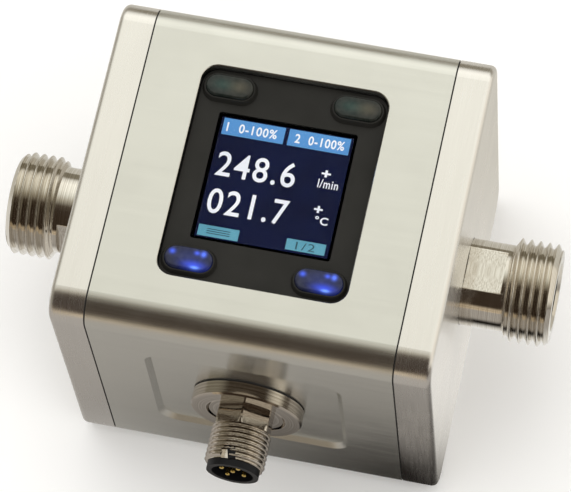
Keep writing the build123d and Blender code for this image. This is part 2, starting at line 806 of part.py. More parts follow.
# Front plate: a flange under the sleeve's top wall, a panel that fills the opening, four
# tapered key collars, the ledge for the pane and the slots for the keys.
key_places = {
    "upper_left_key": (-key_x, key_y),
    "upper_right_key": (key_x, key_y),
    "lower_left_key": (-key_x, -key_y),
    "lower_right_key": (key_x, -key_y),
}
collar_top_z = front_face_z + collar_height
with BuildPart() as display_front:
    with BuildSketch(Plane.XY.offset(front_flange_bottom)):
        RectangleRounded(
            window_length + 2 * front_flange_margin,
            window_width + 2 * front_flange_margin,
            window_radius + front_flange_margin,
        )
    extrude(amount=front_flange_thickness)
    with BuildSketch(Plane.XY.offset(front_flange_top)):
        RectangleRounded(panel_length, panel_width, window_radius - window_gap)
    extrude(amount=front_face_z - front_flange_top)
    for place in key_places.values():
        with BuildSketch(Plane.XY.offset(front_face_z)):
            with Locations(place):
                SlotOverall(collar_length, collar_width)
        with BuildSketch(Plane.XY.offset(collar_top_z)):
            with Locations(place):
                SlotOverall(key_length + 2 * collar_rim, key_width + 2 * collar_rim)
        loft()
    with BuildSketch(Plane.XY.offset(front_flange_bottom)):
        Rectangle(view_length, view_width)
        with Locations(*key_places.values()):
            SlotOverall(key_length + 2 * key_clearance, key_width + 2 * key_clearance)
    extrude(amount=collar_top_z - front_flange_bottom, mode=Mode.SUBTRACT)
    with BuildSketch(Plane.XY.offset(pane_bottom)):
        RectangleRounded(screen_length, screen_width, screen_corner_radius)
    extrude(amount=front_face_z - pane_bottom, mode=Mode.SUBTRACT)
pieces["display_front"] = display_front

with BuildPart() as window_gasket:
    with BuildSketch(Plane.XY.offset(front_flange_top)):
        RectangleRounded(
            window_length + 2 * front_flange_margin,
            window_width + 2 * front_flange_margin,
            window_radius + front_flange_margin,
        )
        RectangleRounded(window_length, window_width, window_radius, mode=Mode.SUBTRACT)
    extrude(amount=window_gasket_thickness)
pieces["window_gasket"] = window_gasket

# Keys: clear slugs that carry the light through the collars, with a foot below the plate.
for key_name, place in key_places.items():
    with BuildPart() as touch_key:
        with BuildSketch(Plane.XY.offset(front_flange_bottom - key_foot_height)):
            with Locations(place):
                SlotOverall(key_length + 2 * key_foot_lip, key_width + 2 * key_foot_lip)
        extrude(amount=key_foot_height)
        with BuildSketch(Plane.XY.offset(front_flange_bottom)):
            with Locations(place):
                SlotOverall(key_length, key_width)
        extrude(amount=key_top_z - front_flange_bottom)
        fillet(touch_key.faces().sort_by(Axis.Z)[-1].edges(), key_edge_round)
    pieces[key_name] = touch_key

# Connector flange: a disc on a thin gasket in the pocket, with a sunk seat for the shell.
with BuildPart() as connector_gasket:
    with BuildSketch(across_plug(pocket_floor_out)):
        Circle(flange_diameter / 2 - connector_gasket_inset)
        Circle(stem_diameter / 2 + stem_clearance, mode=Mode.SUBTRACT)
    extrude(amount=connector_gasket_thickness)
pieces["connector_gasket"] = connector_gasket

with BuildPart() as connector_flange:
    with BuildSketch(across_plug(flange_base_out)):
        Circle(flange_diameter / 2)
    extrude(amount=flange_thickness)
    chamfer(connector_flange.faces().sort_by(Axis.Y)[0].edges(), flange_chamfer)
    with BuildSketch(across_plug(flange_face_out)):
        Circle(flange_seat_diameter / 2)
    extrude(amount=-flange_seat_depth, mode=Mode.SUBTRACT)
    with BuildSketch(across_plug(flange_base_out)):
        Circle(stem_diameter / 2 + stem_clearance)
    extrude(amount=flange_thickness, mode=Mode.SUBTRACT)
pieces["connector_flange"] = connector_flange

# Connector shell: stem through the wall, seating disc, hexagon, M12 thread land, and a
# coding slot in its rim.
coding_direction = (0, 0, coding_slot_angle)
with BuildPart() as connector_shell:
    with BuildSketch(plug_profile):
        with BuildLine():
            Polyline(
                (stem_back_out, shell_bore / 2),
                (stem_back_out, stem_diameter / 2),
                (shell_seat_out, stem_diameter / 2),
                (shell_seat_out, shell_disc_diameter / 2),
                (shell_disc_out, shell_disc_diameter / 2),
                (shell_disc_out, shell_hex / 2),
                (plug_thread_out, shell_hex / 2),
                (plug_thread_out, plug_thread_diameter / 2 - plug_thread_chamfer),
                (plug_thread_out + plug_thread_chamfer, plug_thread_diameter / 2),
                (shell_end_out - plug_thread_chamfer, plug_thread_diameter / 2),
                (shell_end_out, plug_thread_diameter / 2 - plug_thread_chamfer),
                (shell_end_out, shell_bore / 2),
                close=True,
            )
        make_face()
    revolve(axis=plug_axis)
    with BuildSketch(across_plug(shell_disc_out)):
        RegularPolygon(shell_hex / 2, 6, major_radius=False, rotation=30)
        Circle(plug_thread_diameter / 2, mode=Mode.INTERSECT)
        Circle(shell_bore / 2, mode=Mode.SUBTRACT)
    extrude(amount=shell_hex_length)
    with BuildSketch(across_plug(shell_end_out).rotated(coding_direction)):
        with Locations((0, plug_thread_diameter / 2)):
            Rectangle(coding_slot_width, plug_thread_diameter)
    extrude(amount=-coding_slot_length, mode=Mode.SUBTRACT)
pieces["connector_shell"] = connector_shell

# Connector insert: a plastic body with the plug cavity, a collar over the shell's rim and
# the coding key that shows in the slot. The pins stand in a square turned with the slot.
pin_places = [Vector(0, 0)]
for quarter in range(4):
    pin_turn = coding_slot_angle + 90 * (quarter + 0.5)
    pin_places.append(Vector(pin_circle_diameter / 2, 0).rotate(Axis.Z, pin_turn))
with BuildPart() as connector_insert:
    with BuildSketch(across_plug(insert_back_out)):
        Circle(insert_radius)
    extrude(amount=shell_end_out - insert_back_out)
    with BuildSketch(across_plug(shell_end_out)):
        Circle(insert_collar_diameter / 2)
    extrude(amount=insert_collar_length)
    with BuildSketch(across_plug(shell_end_out).rotated(coding_direction)):
        with Locations((0, insert_radius)):
            Rectangle(coding_slot_width - 2 * insert_clearance, 2 * coding_key_depth)
    extrude(amount=-(coding_slot_length - insert_clearance))
    with BuildSketch(across_plug(insert_end_out)):
        Circle(insert_cavity_diameter / 2)
    extrude(amount=-insert_cavity_depth, mode=Mode.SUBTRACT)
    with BuildSketch(across_plug(insert_back_out)):
        with Locations(*pin_places):
            Circle(pin_diameter / 2 + pin_clearance)
    extrude(amount=cavity_floor_out - insert_back_out, mode=Mode.SUBTRACT)
pieces["connector_insert"] = connector_insert

pin_tip_out = insert_end_out - pin_recess
with BuildPart() as contact_pins:
    with BuildSketch(across_plug(lead_out)):
        with Locations(*pin_places):
            Circle(pin_diameter / 2)
    extrude(amount=pin_tip_out - lead_out)
    tip_edges = contact_pins.edges().group_by(Axis.Y)[0]
    fillet(tip_edges, pin_tip_round)
pieces["contact_pins"] = contact_pins

with BuildPart() as connector_locknut:
    with BuildSketch(across_plug(locknut_back_out)):
        RegularPolygon(locknut_flats / 2, 6, major_radius=False)
        Circle(stem_diameter / 2 + thread_clearance, mode=Mode.SUBTRACT)
    extrude(amount=locknut_thickness)
pieces["connector_locknut"] = connector_locknut

# Flat lead from the back of the contact pins up to the main board's edge.
lead_bottom = -(pin_circle_diameter + lead_width) / 4
with BuildPart() as connector_lead:
    with BuildSketch(across_plug(lead_out)):
        with Locations((0, (main_board_bottom - axis_z + lead_bottom) / 2)):
            Rectangle(lead_width, main_board_bottom - axis_z - lead_bottom)
    extrude(amount=-lead_thickness)
pieces["connector_lead"] = connector_lead

os.makedirs("parts", exist_ok=True)
for name, piece in pieces.items():
    piece.part.label = name
    export_step(piece.part, f"parts/{name}.step")
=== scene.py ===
import json
import bpy
import numpy as np
from mathutils import Matrix, Vector


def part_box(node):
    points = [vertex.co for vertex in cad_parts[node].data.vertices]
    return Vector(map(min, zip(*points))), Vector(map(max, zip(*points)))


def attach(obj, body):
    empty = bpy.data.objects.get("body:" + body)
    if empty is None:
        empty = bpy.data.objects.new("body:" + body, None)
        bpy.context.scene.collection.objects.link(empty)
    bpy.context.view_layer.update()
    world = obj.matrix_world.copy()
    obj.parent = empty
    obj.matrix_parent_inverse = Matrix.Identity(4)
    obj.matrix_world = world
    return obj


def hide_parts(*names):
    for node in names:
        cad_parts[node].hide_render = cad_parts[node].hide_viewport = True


# Flow meter lying on its back: X along the flow, Z up out of the display, plug towards -Y.
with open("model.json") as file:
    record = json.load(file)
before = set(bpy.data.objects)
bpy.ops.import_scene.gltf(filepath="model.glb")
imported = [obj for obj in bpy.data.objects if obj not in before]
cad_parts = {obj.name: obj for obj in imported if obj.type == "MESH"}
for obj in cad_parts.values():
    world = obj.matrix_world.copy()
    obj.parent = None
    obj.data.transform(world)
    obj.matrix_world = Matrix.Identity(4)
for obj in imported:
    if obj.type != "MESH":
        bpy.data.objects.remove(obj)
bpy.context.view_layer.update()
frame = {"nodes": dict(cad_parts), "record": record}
nodes = frame["nodes"]
mm = 0.001
noiseSpan = (0.3, 0.7)  # most values of a noise lie in here
nudge = 0.01  # mm that keeps a comparison clear of the row it tells apart
axisZ = 0.034

# camera, floor and light
camera = {
    "place": (0.098279, -0.262134, 0.711296),
    "right": (0.97578869, 0.21038158, -0.05979987),
    "up": (-0.17293553, 0.90953487, 0.3779413),
    "back": (0.13390195, -0.35844933, 0.92389629),
    "lens": 229.715,
    "sensor": 36.0,
}


def makeCamera():
    data = bpy.data.cameras.new("studioCamera")
    data.lens = camera["lens"]
    data.sensor_width = camera["sensor"]
    data.clip_start = 0.02
    data.clip_end = 30
    item = bpy.data.objects.new("studioCamera", data)
    columns = [Vector(camera[key]) for key in ("right", "up", "back")]
    turn = Matrix(columns).transposed().to_4x4()
    item.matrix_world = Matrix.Translation(camera["place"]) @ turn
    bpy.context.scene.collection.objects.link(item)
    bpy.context.scene.camera = item


makeCamera()
print("camera set")


# Small helpers for node trees: values go on the node's own sockets, sockets are linked.
def addNode(tree, kind, inputs=None, **settings):
    node = tree.nodes.new(kind)
    for key, item in settings.items():
        setattr(node, key, item)
    for key, item in (inputs or {}).items():
        if isinstance(item, bpy.types.NodeSocket):
            tree.links.new(item, node.inputs[key])
        else:
            node.inputs[key].default_value = item
    return node


def rescale(tree, source, low, high, newLow, newHigh, kind="LINEAR"):
    node = addNode(tree, "ShaderNodeMapRange", interpolation_type=kind)
    tree.links.new(source, node.inputs[0])
    for key, item in zip((1, 2, 3, 4), (low, high, newLow, newHigh)):
        node.inputs[key].default_value = item
    return node.outputs[0]


def combine(tree, operation, first, second=0.5):
    return addNode(tree, "ShaderNodeMath", {0: first, 1: second}, operation=operation).outputs[0]


def mixColour(tree, factor, first, second, blend="MIX"):
    node = addNode(tree, "ShaderNodeMix", {0: factor, 6: first, 7: second}, data_type="RGBA")
    node.blend_type = blend
    return node.outputs[2]


def colour(*rgb):
    return (*rgb, 1.0)


# The room, seen by glossy rays only: a ring of tones by the angle about the X axis, counted in
# degrees from +Y over +Z, with other tones where a ray leaves along X. The rest is pale.
room = {
    "pale": colour(1.0, 0.99, 0.97),
    "paleStrength": 0.98,
    "ring": [
        (-180, (0.66, 0.55, 0.4)), (-166, (0.6, 0.5, 0.37)), (-158, (0.44, 0.41, 0.37)),
        (-112, (0.47, 0.445, 0.41)), (-84, (0.72, 0.71, 0.68)), (-24, (0.74, 0.73, 0.7)),
        (-16, (0.25, 0.225, 0.17)), (14, (0.26, 0.235, 0.18)), (24, (0.95, 0.94, 0.88)),
        (38, (1.28, 1.275, 1.19)), (60, (1.17, 1.17, 1.085)), (72, (0.93, 0.93, 0.85)),
        (86, (0.5, 0.47, 0.39)), (102, (0.09, 0.07, 0.05)), (116, (0.045, 0.031, 0.02)),
        (170, (0.045, 0.03, 0.02)), (178, (0.66, 0.55, 0.4)),
    ],
    "left": colour(0.3, 0.28, 0.23),
    "right": colour(0.95, 0.9, 0.8),
    "corner": colour(0.06, 0.043, 0.03),
    "sideTone": (-0.3, 0.3),
    "sideStart": (0.55, 0.88),
    "horizon": (-0.2, -0.04),
    "cornerX": (0.3, 0.6),
    "cornerY": (-0.12, -0.3),
    "cornerZ": (0.3, 0.1),
}


def makeRoom():
    world = bpy.data.worlds.new("studioRoom")
    bpy.context.scene.world = world
    world.use_nodes = True
    tree = world.node_tree
    tree.nodes.clear()
    where = addNode(tree, "ShaderNodeTexCoord").outputs["Generated"]
    parts = addNode(tree, "ShaderNodeSeparateXYZ", {0: where}).outputs
    x, y, z = parts[0], parts[1], parts[2]
    angle = combine(tree, "ARCTAN2", z, y)
    ramp = addNode(tree, "ShaderNodeValToRGB")
    tree.links.new(rescale(tree, angle, -np.pi, np.pi, 0, 1), ramp.inputs[0])
    stops = ramp.color_ramp.elements
    for place, tone in room["ring"]:
        stop = stops.new((place + 180) / 360)
        stop.color = colour(*tone)
    stops.remove(stops[-1])
    side = mixColour(tree, rescale(tree, x, *room["sideTone"], 0, 1), room["left"], room["right"])
    outward = combine(tree, "ABSOLUTE", x)
    sideways = rescale(tree, outward, *room["sideStart"], 0, 1, "SMOOTHSTEP")
    level = rescale(tree, z, *room["horizon"], 0, 1, "SMOOTHSTEP")
    inside = mixColour(tree, combine(tree, "MULTIPLY", sideways, level), ramp.outputs[0], side)
    # dark corner in front on the right, below the horizon
    cornerX = rescale(tree, x, *room["cornerX"], 0, 1)
    cornerY = rescale(tree, y, *room["cornerY"], 0, 1)
    cornerZ = rescale(tree, z, *room["cornerZ"], 0, 1)
    corner = combine(tree, "MULTIPLY", combine(tree, "MULTIPLY", cornerX, cornerY), cornerZ)
    inside = mixColour(tree, corner, inside, room["corner"])
    path = addNode(tree, "ShaderNodeLightPath")
    glossy = addNode(tree, "ShaderNodeBackground", {0: inside})
    plain = addNode(tree, "ShaderNodeBackground", {0: room["pale"], 1: room["paleStrength"]})
    both = addNode(
        tree, "ShaderNodeMixShader",
        {0: path.outputs["Is Glossy Ray"], 1: plain.outputs[0], 2: glossy.outputs[0]},
    )
    output = addNode(tree, "ShaderNodeOutputWorld")
    tree.links.new(both.outputs[0], output.inputs[0])
    bpy.context.scene.view_settings.view_transform = "Standard"


lamps = {
    "softTop": {"place": (-0.5, 0.5, 1.6), "size": 1.6, "power": 9.0},
    "softSide": {"place": (1.3, -0.6, 1.1), "size": 1.2, "power": 4.0},
}


def makeLamps():
    for name, spec in lamps.items():
        data = bpy.data.lights.new(name, "AREA")
        data.size = spec["size"]
        data.energy = spec["power"]
        item = bpy.data.objects.new(name, data)
        item.location = spec["place"]
        item.rotation_mode = "QUATERNION"
        item.rotation_quaternion = Vector(spec["place"]).to_track_quat("Z", "Y")
        item.visible_glossy = False
        bpy.context.scene.collection.objects.link(item)


floor = {"half": 3.0, "paint": colour(0.93, 0.925, 0.915), "rough": 0.9, "specular": 0.1}


def flatSheet(name, half, material):
    mesh = bpy.data.meshes.new(name)
    corners = [(-half, -half, 0), (half, -half, 0), (half, half, 0), (-half, half, 0)]
    mesh.from_pydata(corners, [], [(0, 1, 2, 3)])
    mesh.materials.append(material)
    item = bpy.data.objects.new(name, mesh)
    bpy.context.scene.collection.objects.link(item)
    return item


def makeFloor():
    material, tree, surface = newFinish("floorPaint")
    surface.inputs["Base Color"].default_value = floor["paint"]
    surface.inputs["Roughness"].default_value = floor["rough"]
    surface.inputs["Specular IOR Level"].default_value = floor["specular"]
    item = flatSheet("studioFloor", floor["half"], material)
    item.visible_glossy = False


def newFinish(name):
    material = bpy.data.materials.new(name)
    material.use_nodes = True
    tree = material.node_tree
    tree.nodes.clear()
    output = tree.nodes.new("ShaderNodeOutputMaterial")
    surface = tree.nodes.new("ShaderNodeBsdfPrincipled")
    tree.links.new(surface.outputs[0], output.inputs["Surface"])
    return material, tree, surface


# A glowing card on the floor that only glossy rays see, painted with light and shade: the ground's
# tone, with a painted shadow, a soft dark patch in front of the object that is deeper on the right.
# Patch = e to the minus d squared.
card = {
    "half": 0.4,
    "lift": 0.0002,
    "ground": colour(0.45, 0.425, 0.395),
    "far": colour(0.88, 0.87, 0.84),
    "behind": colour(0.66, 0.64, 0.58),
    "underStart": (-0.045, -0.02),
    "behindStart": (-0.01, 0.05),
    # painted shadow: the object's shadow on the floor, seen only in reflections
    "patch": colour(0.006, 0.004, 0.003),
    "centre": (0.036, -0.038, 0.0),
    "spread": (0.065, 0.015, 1.0),
}


def makeCard():
    material, tree, surface = newFinish("cardPaintedShade")
    where = addNode(tree, "ShaderNodeTexCoord").outputs["Object"]
    y = addNode(tree, "ShaderNodeSeparateXYZ", {0: where}).outputs[1]
    under = rescale(tree, y, *card["underStart"], 0, 1, "SMOOTHSTEP")
    behind = rescale(tree, y, *card["behindStart"], 0, 1, "SMOOTHSTEP")
    tone = mixColour(tree, under, card["ground"], card["far"])
    tone = mixColour(tree, behind, tone, card["behind"])
    away = addNode(
        tree, "ShaderNodeVectorMath", {0: where, 1: card["centre"]}, operation="SUBTRACT",
    )
    scaled = addNode(
        tree, "ShaderNodeVectorMath", {0: away.outputs[0], 1: card["spread"]}, operation="DIVIDE",
    )
    square = addNode(
        tree, "ShaderNodeVectorMath", {0: scaled.outputs[0], 1: scaled.outputs[0]},
        operation="DOT_PRODUCT",
    )
    # painted shadow mixed into the card's glow
    patch = combine(tree, "EXPONENT", combine(tree, "MULTIPLY", square.outputs["Value"], -1.0))
    tree.links.new(mixColour(tree, patch, tone, card["patch"]), surface.inputs["Emission Color"])
    surface.inputs["Emission Strength"].default_value = 1.0
    surface.inputs["Base Color"].default_value = colour(0, 0, 0)
    surface.inputs["Specular IOR Level"].default_value = 0.0
    item = flatSheet("reflectionCard", card["half"], material)
    item.location.z = card["lift"]
    item.visible_camera = False
    item.visible_diffuse = False
    item.visible_transmission = False
    item.visible_shadow = False


makeRoom()
makeLamps()
makeFloor()
makeCard()
print("room, lamps and floor made")


# effects shared by the finishes
def newEffect(name, inputs, outputs):
    group = bpy.data.node_groups.new(name, "ShaderNodeTree")
    for label, kind, start in inputs:
        socket = group.interface.new_socket(
            name=label, in_out="INPUT", socket_type="NodeSocket" + kind,
        )
        if start is not None:
            socket.default_value = start
    for label, kind in outputs:
        group.interface.new_socket(name=label, in_out="OUTPUT", socket_type="NodeSocket" + kind)
    given = group.nodes.new("NodeGroupInput").outputs
    made = group.nodes.new("NodeGroupOutput").inputs
    return group, given, made


# Brush lines: noise over a vector that the material has stretched along the brushing.
def makeBrushLines():
    group, given, made = newEffect(
        "brushLines",
        [("Vector", "Vector", None)],
        [("Lines", "Float"), ("Bands", "Float")],
    )
    fine = addNode(
        group, "ShaderNodeTexNoise",
        {"Vector": given[0], "Scale": 1.0, "Detail": 3.0, "Roughness": 0.65},
    )
    broad = addNode(
        group, "ShaderNodeTexNoise",
        {"Vector": given[0], "Scale": 0.16, "Detail": 2.0, "Roughness": 0.5},
    )
    group.links.new(fine.outputs[0], made["Lines"])
    group.links.new(broad.outputs[0], made["Bands"])
    return group


# Turning marks: noise that changes along the axis and with the radius, not round the axis.
# The vector's X runs along the axis; radius = square root of Y squared plus Z squared.
def makeTurnedLines():
    group, given, made = newEffect(
        "turnedLines",
        [("Vector", "Vector", None), ("Fineness", "Float", 3000.0)],
        [("Lines", "Float")],
    )
    parts = addNode(group, "ShaderNodeSeparateXYZ", {0: given[0]}).outputs
    square = [combine(group, "MULTIPLY", parts[i], parts[i]) for i in (1, 2)]
    radius = combine(group, "SQRT", combine(group, "ADD", *square))
    flat = addNode(group, "ShaderNodeCombineXYZ", {0: parts[0], 1: radius})
    noise = addNode(
        group, "ShaderNodeTexNoise", {"Vector": flat.outputs[0], "Detail": 2.0},
        noise_dimensions="2D",
    )
    group.links.new(given[1], noise.inputs["Scale"])
    group.links.new(noise.outputs[0], made["Lines"])
    return group


# Hand marks: broad soft patches where the metal or plastic has been handled.
def makeHandMarks():
    group, given, made = newEffect(
        "handMarks",
        [("Vector", "Vector", None), ("Size", "Float", 60.0)],
        [("Marks", "Float")],
    )
    noise = addNode(
        group, "ShaderNodeTexNoise", {"Vector": given[0], "Detail": 4.0, "Roughness": 0.6},
    )
    group.links.new(given[1], noise.inputs["Scale"])
    group.links.new(rescale(group, noise.outputs[0], 0.4, 0.68, 0, 1, "SMOOTHSTEP"), made["Marks"])
    return group


# Moulded grain: fine pebbled noise for plastic and rubber, and a slower tone beneath it.
def makeMouldGrain():
    group, given, made = newEffect(
        "mouldGrain",
        [("Vector", "Vector", None), ("Size", "Float", 4000.0)],
        [("Grain", "Float"), ("Tone", "Float")],
    )
    fine = addNode(group, "ShaderNodeTexNoise", {"Vector": given[0], "Detail": 2.0})
    group.links.new(given[1], fine.inputs["Scale"])
    slow = addNode(group, "ShaderNodeTexNoise", {"Vector": given[0], "Scale": 90.0, "Detail": 3.0})
    group.links.new(fine.outputs[0], made["Grain"])
    group.links.new(slow.outputs[0], made["Tone"])
    return group


# Soft spot: the bell curve e to the minus d squared, d the distance from Centre over Spread.
def makeSoftSpot():
    group, given, made = newEffect(
        "softSpot",
        [
            ("Vector", "Vector", None), ("Centre", "Vector", (0, 0, 0)),
            ("Spread", "Vector", (1, 1, 1)),
        ],
        [("Glow", "Float")],
    )
    away = addNode(group, "ShaderNodeVectorMath", {0: given[0], 1: given[1]}, operation="SUBTRACT")
    scaled = addNode(
        group, "ShaderNodeVectorMath", {0: away.outputs[0], 1: given[2]}, operation="DIVIDE",
    )
    square = addNode(
        group, "ShaderNodeVectorMath", {0: scaled.outputs[0], 1: scaled.outputs[0]},
        operation="DOT_PRODUCT",
    )
    minus = combine(group, "MULTIPLY", square.outputs["Value"], -1.0)
    group.links.new(combine(group, "EXPONENT", minus), made["Glow"])
    return group


effects = {
    "brushLines": makeBrushLines(),
    "turnedLines": makeTurnedLines(),
    "handMarks": makeHandMarks(),
    "mouldGrain": makeMouldGrain(),
    "softSpot": makeSoftSpot(),
}


def useEffect(tree, name, inputs):
    node = tree.nodes.new("ShaderNodeGroup")
    node.node_tree = effects[name]
    for key, item in inputs.items():
        if isinstance(item, bpy.types.NodeSocket):
            tree.links.new(item, node.inputs[key])
        else:
            node.inputs[key].default_value = item
    return node.outputs


def objectVector(tree, scale=(1, 1, 1), shift=(0, 0, 0), turn=(0, 0, 0)):
    source = addNode(tree, "ShaderNodeTexCoord").outputs["Object"]
    inputs = {"Vector": source, "Location": shift, "Rotation": turn, "Scale": scale}
    return addNode(tree, "ShaderNodeMapping", inputs).outputs[0]


def bump(tree, surface, height, strength, distance):
    node = addNode(
        tree, "ShaderNodeBump", {"Strength": strength, "Distance": distance, "Height": height},
    )
    tree.links.new(node.outputs[0], surface.inputs["Normal"])


def setValues(surface, **given):
    names = {
        "metal": "Metallic", "rough": "Roughness", "index": "IOR", "specular": "Specular IOR Level",
        "coat": "Coat Weight", "coatRough": "Coat Roughness", "stretch": "Anisotropic",
        "clear": "Transmission Weight", "glow": "Emission Strength", "base": "Base Color",
    }
    for key, item in given.items():
        surface.inputs[names[key]].default_value = item


# finishes
brushed = {
    "sleeve": {
        "along": (45, 3800, 3800), "axis": "X", "dark": colour(0.725, 0.72, 0.67),
        "light": colour(0.785, 0.78, 0.73),
        "rough": (0.18, 0.24), "stretch": 0.9, "relief": 0.05,
    },
    "cap": {
        "along": (2600, 90, 90), "axis": "Y", "dark": colour(0.79, 0.76, 0.72),
        "light": colour(0.845, 0.82, 0.78),
        "rough": (0.22, 0.28), "stretch": 0.88, "relief": 0.04,
    },
}


def brushedSteel(name, spec):
    material, tree, surface = newFinish(name)
    lines = useEffect(tree, "brushLines", {"Vector": objectVector(tree, spec["along"])})
    marks = useEffect(tree, "handMarks", {"Vector": objectVector(tree), "Size": 70.0})
    tone = combine(tree, "MULTIPLY", lines["Lines"], 0.7)
    tone = combine(tree, "ADD", tone, combine(tree, "MULTIPLY", lines["Bands"], 0.3))
    base = mixColour(tree, rescale(tree, tone, *noiseSpan, 0, 1), spec["dark"], spec["light"])
    tree.links.new(base, surface.inputs["Base Color"])
    rough = rescale(tree, lines["Lines"], *noiseSpan, *spec["rough"])
    rough = combine(tree, "ADD", rough, combine(tree, "MULTIPLY", marks["Marks"], 0.03))
    tree.links.new(rough, surface.inputs["Roughness"])
    bump(tree, surface, lines["Lines"], spec["relief"], 0.00005)
    tangent = addNode(tree, "ShaderNodeTangent", direction_type="RADIAL", axis=spec["axis"])
    tree.links.new(tangent.outputs[0], surface.inputs["Tangent"])
    setValues(surface, metal=1.0, stretch=spec["stretch"])
    return material


turned = {
    "fitting": {
        "shift": (0, 0, -axisZ), "turn": (0, 0, 0), "dark": colour(0.58, 0.535, 0.465),
        "light": colour(0.79, 0.755, 0.69),
        "rough": (0.05, 0.09), "fineness": 4200.0, "relief": 0.025,
    },
    "plug": {
        "shift": (0, 0, -axisZ), "turn": (0, 0, np.pi / 2), "dark": colour(0.52, 0.47, 0.41),
        "light": colour(0.75, 0.7, 0.63),
        "rough": (0.05, 0.1), "fineness": 5200.0, "relief": 0.03,
    },
}


def turnedSteel(name, spec):
    material, tree, surface = newFinish(name)
    where = objectVector(tree, shift=spec["shift"], turn=spec["turn"])
    lines = useEffect(tree, "turnedLines", {"Vector": where, "Fineness": spec["fineness"]})
    marks = useEffect(tree, "handMarks", {"Vector": objectVector(tree), "Size": 160.0})
    base = mixColour(
        tree, rescale(tree, lines["Lines"], *noiseSpan, 0, 1), spec["dark"], spec["light"],
    )
    tree.links.new(base, surface.inputs["Base Color"])
    rough = rescale(tree, lines["Lines"], *noiseSpan, *spec["rough"])
    rough = combine(tree, "ADD", rough, combine(tree, "MULTIPLY", marks["Marks"], 0.04))
    tree.links.new(rough, surface.inputs["Roughness"])
    bump(tree, surface, lines["Lines"], spec["relief"], 0.00003)
    setValues(surface, metal=1.0)
    return material


moulded = {
    "sealRubber": {
        "low": colour(0.012, 0.012, 0.012), "high": colour(0.028, 0.027, 0.026),
        "rough": (0.55, 0.75), "size": 3500.0, "relief": 0.2,
    },
    "tubePlastic": {
        "low": colour(0.52, 0.43, 0.3), "high": colour(0.66, 0.56, 0.42), "rough": (0.45, 0.6),
        "size": 2500.0, "relief": 0.12,
    },
    "bobbinPlastic": {
        "low": colour(0.72, 0.7, 0.62), "high": colour(0.84, 0.82, 0.75), "rough": (0.5, 0.65),
        "size": 2500.0, "relief": 0.15,
    },
    "boardLaminate": {
        "low": colour(0.02, 0.16, 0.07), "high": colour(0.05, 0.27, 0.13), "rough": (0.25, 0.4),
        "size": 2200.0, "relief": 0.1,
    },
    "componentBlack": {
        "low": colour(0.02, 0.02, 0.022), "high": colour(0.05, 0.05, 0.055), "rough": (0.4, 0.6),
        "size": 4000.0, "relief": 0.2,
    },
    "lampPlastic": {
        "low": colour(0.78, 0.78, 0.74), "high": colour(0.9, 0.9, 0.87), "rough": (0.3, 0.4),
        "size": 3000.0, "relief": 0.05,
    },
    "frontPlastic": {
        "low": colour(0.014, 0.0135, 0.0115), "high": colour(0.02, 0.019, 0.0165),
        "rough": (0.42, 0.52), "size": 5200.0, "relief": 0.12, "specular": 0.18,
    },
    "connectorPlastic": {
        "low": colour(0.004, 0.004, 0.005), "high": colour(0.009, 0.009, 0.01),
        "rough": (0.35, 0.45), "size": 5200.0, "relief": 0.1, "specular": 0.2,
    },
    "leadFilm": {
        "low": colour(0.38, 0.18, 0.05), "high": colour(0.52, 0.28, 0.09), "rough": (0.3, 0.42),
        "size": 1800.0, "relief": 0.05,
    },
}


def mouldedPlastic(name, spec):
    material, tree, surface = newFinish(name)
    grain = useEffect(tree, "mouldGrain", {"Vector": objectVector(tree), "Size": spec["size"]})
    marks = useEffect(tree, "handMarks", {"Vector": objectVector(tree), "Size": 120.0})
    base = mixColour(
        tree, rescale(tree, grain["Tone"], *noiseSpan, 0, 1), spec["low"], spec["high"],
    )
    tree.links.new(base, surface.inputs["Base Color"])
    rough = rescale(tree, grain["Grain"], *noiseSpan, *spec["rough"])
    rough = combine(tree, "ADD", rough, combine(tree, "MULTIPLY", marks["Marks"], 0.05))
    tree.links.new(rough, surface.inputs["Roughness"])
    bump(tree, surface, grain["Grain"], spec["relief"], 0.00004)
    setValues(surface, specular=spec.get("specular", 0.5))
    return material


metals = {
    "screwSteel": {
        "low": colour(0.58, 0.58, 0.57), "high": colour(0.72, 0.72, 0.71), "rough": (0.25, 0.38),
        "size": 1500.0,
    },
    "electrodeSteel": {
        "low": colour(0.66, 0.65, 0.63), "high": colour(0.78, 0.77, 0.75), "rough": (0.1, 0.2),
        "size": 1500.0,
    },
    "magnetIron": {
        "low": colour(0.34, 0.33, 0.32), "high": colour(0.47, 0.46, 0.45), "rough": (0.4, 0.6),
        "size": 900.0,
    },
    "coilCopper": {
        "low": colour(0.55, 0.25, 0.11), "high": colour(0.76, 0.4, 0.22), "rough": (0.25, 0.35),
        "size": 1200.0,
    },
    "contactGold": {
        "low": colour(0.8, 0.56, 0.14), "high": colour(0.98, 0.78, 0.3), "rough": (0.15, 0.28),
        "size": 2000.0,
    },
}


def plainMetal(name, spec):
    material, tree, surface = newFinish(name)
    grain = useEffect(tree, "mouldGrain", {"Vector": objectVector(tree), "Size": spec["size"]})
    base = mixColour(
        tree, rescale(tree, grain["Tone"], *noiseSpan, 0, 1), spec["low"], spec["high"],
    )
    tree.links.new(base, surface.inputs["Base Color"])
    tree.links.new(
        rescale(tree, grain["Grain"], *noiseSpan, *spec["rough"]), surface.inputs["Roughness"],
    )
    bump(tree, surface, grain["Grain"], 0.06, 0.00003)
    setValues(surface, metal=1.0)
    return material


pane = {"index": 1.07, "tint": colour(0.97, 0.98, 1.0), "rough": (0.0, 0.03)}


def clearPane():
    material, tree, surface = newFinish("paneGlass")
    marks = useEffect(tree, "handMarks", {"Vector": objectVector(tree), "Size": 150.0})
    tree.links.new(rescale(tree, marks["Marks"], 0, 1, *pane["rough"]), surface.inputs["Roughness"])
    setValues(surface, base=pane["tint"], index=pane["index"], clear=1.0)
    return material
